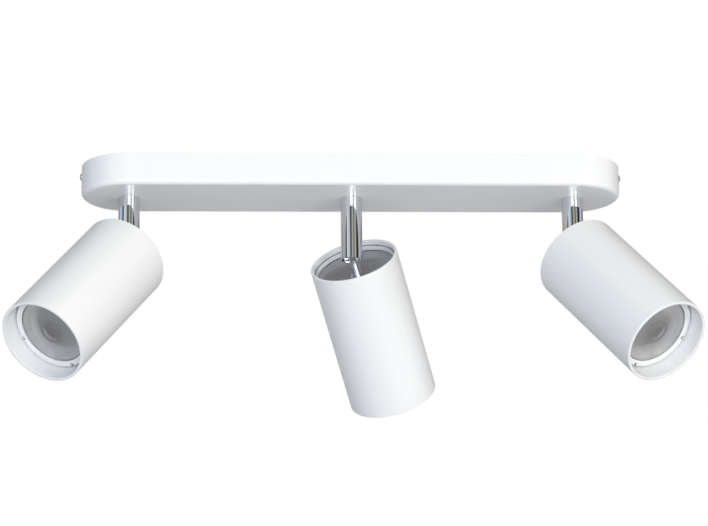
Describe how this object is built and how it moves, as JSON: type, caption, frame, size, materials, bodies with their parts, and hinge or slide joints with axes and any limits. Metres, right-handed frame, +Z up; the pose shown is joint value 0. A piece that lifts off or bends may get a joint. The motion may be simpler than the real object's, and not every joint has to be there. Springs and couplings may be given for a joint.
{
  "type": "track lighting fixture",
  "caption": "Ceiling bar light: a long rounded canopy carrying cylindrical spotlight heads that pan and tilt on short polished stems.",
  "frame": {"origin": "centre of the mounting face, which lies against the ceiling", "axes": "+Z up out of the mounting face into the ceiling, +X along the canopy, +Y across it; the fixture hangs towards -Z"},
  "size_m": [0.4265, 0.1671, 0.1506],
  "materials": {
    "white_enamel": "satin",
    "head_enamel": "satin",
    "chrome_plate": "polished",
    "bright_plate": "polished",
    "zinc_steel": "satin",
    "brass": "satin",
    "moulded_polyamide": "matte",
    "brown_lead": "satin",
    "blue_lead": "satin",
    "green_yellow_lead": "satin",
    "white_silicone": "matte",
    "ceramic": "matte",
    "lamp_plastic": "satin",
    "lamp_lens": "gloss"
  },
  "bodies": {
    "canopy": {"canopy_housing": "white_enamel", "ceiling_bracket": "zinc_steel", "side_screws": "chrome_plate", "terminal_block": "moulded_polyamide", "terminal_sleeves": "brass", "terminal_screws": "zinc_steel", "live_leads": "brown_lead", "neutral_leads": "blue_lead", "earth_lead": "green_yellow_lead"},
    "left_stem": {"left_stem_tube": "chrome_plate", "left_stem_nipple": "zinc_steel", "left_locknut": "zinc_steel", "left_swivel_fork": "chrome_plate", "left_pivot_pins": "zinc_steel", "left_stem_leads": "white_silicone"},
    "left_head": {"left_head_tube": "head_enamel", "left_back_plate": "bright_plate", "left_swivel_post": "chrome_plate", "left_post_nut": "zinc_steel", "left_holder_bracket": "zinc_steel", "left_lampholder": "ceramic", "left_holder_screws": "zinc_steel", "left_lamp_body": "lamp_plastic", "left_lamp_lens": "lamp_lens", "left_lamp_bezel": "lamp_plastic", "left_head_leads": "white_silicone"},
    "middle_stem": {"middle_stem_tube": "chrome_plate", "middle_stem_nipple": "zinc_steel", "middle_locknut": "zinc_steel", "middle_swivel_fork": "chrome_plate", "middle_pivot_pins": "zinc_steel", "middle_stem_leads": "white_silicone"},
    "middle_head": {"middle_head_tube": "head_enamel", "middle_back_plate": "bright_plate", "middle_swivel_post": "chrome_plate", "middle_post_nut": "zinc_steel", "middle_holder_bracket": "zinc_steel", "middle_lampholder": "ceramic", "middle_holder_screws": "zinc_steel", "middle_lamp_body": "lamp_plastic", "middle_lamp_lens": "lamp_lens", "middle_lamp_bezel": "lamp_plastic", "middle_head_leads": "white_silicone"},
    "right_stem": {"right_stem_tube": "chrome_plate", "right_stem_nipple": "zinc_steel", "right_locknut": "zinc_steel", "right_swivel_fork": "chrome_plate", "right_pivot_pins": "zinc_steel", "right_stem_leads": "white_silicone"},
    "right_head": {"right_head_tube": "head_enamel", "right_back_plate": "bright_plate", "right_swivel_post": "chrome_plate", "right_post_nut": "zinc_steel", "right_holder_bracket": "zinc_steel", "right_lampholder": "ceramic", "right_holder_screws": "zinc_steel", "right_lamp_body": "lamp_plastic", "right_lamp_lens": "lamp_lens", "right_lamp_bezel": "lamp_plastic", "right_head_leads": "white_silicone"}
  },
  "joints": [
    {"name": "left_pan", "type": "hinge", "parent": "canopy", "child": "left_stem", "pos_m": [-0.14, 0, -0.0201], "axis": [0, 0, 1], "range_deg": [-175, 175]},
    {"name": "middle_pan", "type": "hinge", "parent": "canopy", "child": "middle_stem", "pos_m": [0, 0, -0.0201], "axis": [0, 0, 1], "range_deg": [-175, 175]},
    {"name": "right_pan", "type": "hinge", "parent": "canopy", "child": "right_stem", "pos_m": [0.14, 0, -0.0201], "axis": [0, 0, 1], "range_deg": [-175, 175]},
    {"name": "left_tilt", "type": "hinge", "parent": "left_stem", "child": "left_head", "pos_m": [-0.14, 0, -0.0562], "axis": [-0.7455, 0.6665, 0], "range_deg": [-45.5, 39.5]},
    {"name": "middle_tilt", "type": "hinge", "parent": "middle_stem", "child": "middle_head", "pos_m": [0, 0, -0.0562], "axis": [0.9171, -0.3987, 0], "range_deg": [-43.5, 41.5]},
    {"name": "right_tilt", "type": "hinge", "parent": "right_stem", "child": "right_head", "pos_m": [0.14, 0, -0.0562], "axis": [-0.7627, -0.6468, 0], "range_deg": [-45.7, 39.3]}
  ]
}
